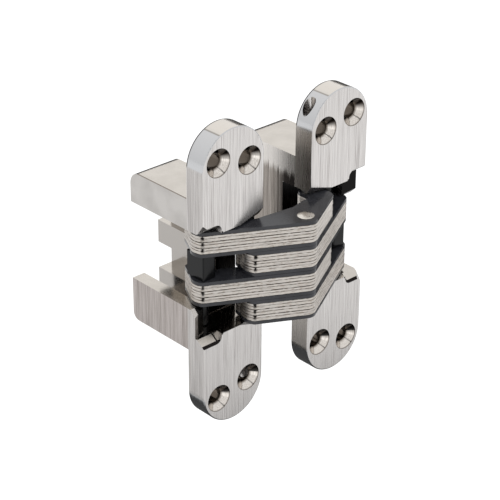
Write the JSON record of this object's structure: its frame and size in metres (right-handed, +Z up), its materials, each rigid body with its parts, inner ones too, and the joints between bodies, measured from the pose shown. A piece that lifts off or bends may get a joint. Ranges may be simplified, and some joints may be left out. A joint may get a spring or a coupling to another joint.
{
  "type": "concealed door hinge",
  "caption": "Concealed door hinge with two mortised leaves, rounded face plates and a crossed pair of laminated links that fold into the leaves as it closes.",
  "frame": {"origin": "midway between the two leaves, on the plane of their faces, at mid height, with the hinge open flat", "axes": "+Z up along the leaves' height, +X towards the right leaf, +Y into the wood behind the faces"},
  "size_m": [0.0808, 0.0536, 0.1174],
  "materials": {
    "satin_nickel_zinc": "die-cast zinc, plated in brushed satin nickel",
    "bright_steel": "stamped steel plate, bright edges",
    "black_bearing_plastic": "semi-gloss black bearing plastic",
    "nickel_rivet": "nickel-plated steel rivet",
    "pin_steel": "ground steel pin"
  },
  "bodies": {
    "leaf_left": {"leaf_casting_left": "satin_nickel_zinc", "pivot_bush_middle_left": "black_bearing_plastic", "pivot_bush_upper_left": "black_bearing_plastic", "pivot_pin_left": "pin_steel"},
    "link_b": {"centre_pin": "nickel_rivet", "link_b_lower_facing_bottom": "black_bearing_plastic", "link_b_lower_facing_top": "black_bearing_plastic", "link_b_lower_steel_1": "bright_steel", "link_b_lower_steel_2": "bright_steel", "link_b_lower_steel_3": "bright_steel", "link_b_upper_facing_bottom": "black_bearing_plastic", "link_b_upper_facing_top": "black_bearing_plastic", "link_b_upper_steel_1": "bright_steel", "link_b_upper_steel_2": "bright_steel", "link_b_upper_steel_3": "bright_steel", "slide_pin_right": "pin_steel"},
    "link_a": {"link_a_lower_facing_bottom": "black_bearing_plastic", "link_a_lower_facing_top": "black_bearing_plastic", "link_a_lower_steel_1": "bright_steel", "link_a_lower_steel_2": "bright_steel", "link_a_lower_steel_3": "bright_steel", "link_a_upper_facing_bottom": "black_bearing_plastic", "link_a_upper_facing_top": "black_bearing_plastic", "link_a_upper_steel_1": "bright_steel", "link_a_upper_steel_2": "bright_steel", "link_a_upper_steel_3": "bright_steel", "slide_pin_left": "pin_steel"},
    "leaf_right": {"leaf_casting_right": "satin_nickel_zinc", "pivot_bush_middle_right": "black_bearing_plastic", "pivot_bush_upper_right": "black_bearing_plastic", "pivot_pin_right": "pin_steel"},
    "shoe_left": {"slide_shoe_left": "black_bearing_plastic"},
    "shoe_right": {"slide_shoe_right": "black_bearing_plastic"},
    "guide_left": {"guide_roller_left": "black_bearing_plastic"},
    "guide_right": {"guide_roller_right": "black_bearing_plastic"}
  },
  "joints": [
    {"name": "pivot_left", "type": "hinge", "parent": "leaf_left", "child": "link_b", "pos_m": [-0.0152, 0.0053, 0], "axis": [0, 0, 1], "range_deg": [-120, 0]},
    {"name": "centre", "type": "hinge", "parent": "link_b", "child": "link_a", "pos_m": [0, -0.0095, 0], "axis": [0, 0, 1], "range_deg": [0, 60]},
    {"name": "pivot_right", "type": "hinge", "parent": "link_a", "child": "leaf_right", "pos_m": [0.0152, 0.0053, 0], "axis": [0, 0, 1], "range_deg": [-120, 0]},
    {"name": "shoe_left_turn", "type": "hinge", "parent": "link_a", "child": "shoe_left", "pos_m": [-0.03135, 0.012, 0], "axis": [0, 0, 1], "range_deg": [0, 60]},
    {"name": "shoe_right_turn", "type": "hinge", "parent": "link_b", "child": "shoe_right", "pos_m": [0.03135, 0.012, 0], "axis": [0, 0, 1], "range_deg": [-60, 0]},
    {"name": "guide_left_slide", "type": "slide", "parent": "leaf_left", "child": "guide_left", "axis": [0, 1, 0], "range_m": [0, 0.0243]},
    {"name": "guide_right_slide", "type": "slide", "parent": "leaf_right", "child": "guide_right", "axis": [0, 1, 0], "range_m": [0, 0.0243]}
  ],
  "couplings": [
    {"joint": "centre", "follows": "pivot_left", "ratio": -0.5},
    {"joint": "pivot_right", "follows": "pivot_left", "ratio": 1},
    {"joint": "shoe_left_turn", "follows": "pivot_left", "ratio": -0.5},
    {"joint": "shoe_right_turn", "follows": "pivot_left", "ratio": 0.5},
    {"joint": "guide_left_slide", "follows": "pivot_left", "m_per_rad": -0.011555},
    {"joint": "guide_right_slide", "follows": "pivot_left", "m_per_rad": -0.011555}
  ]
}
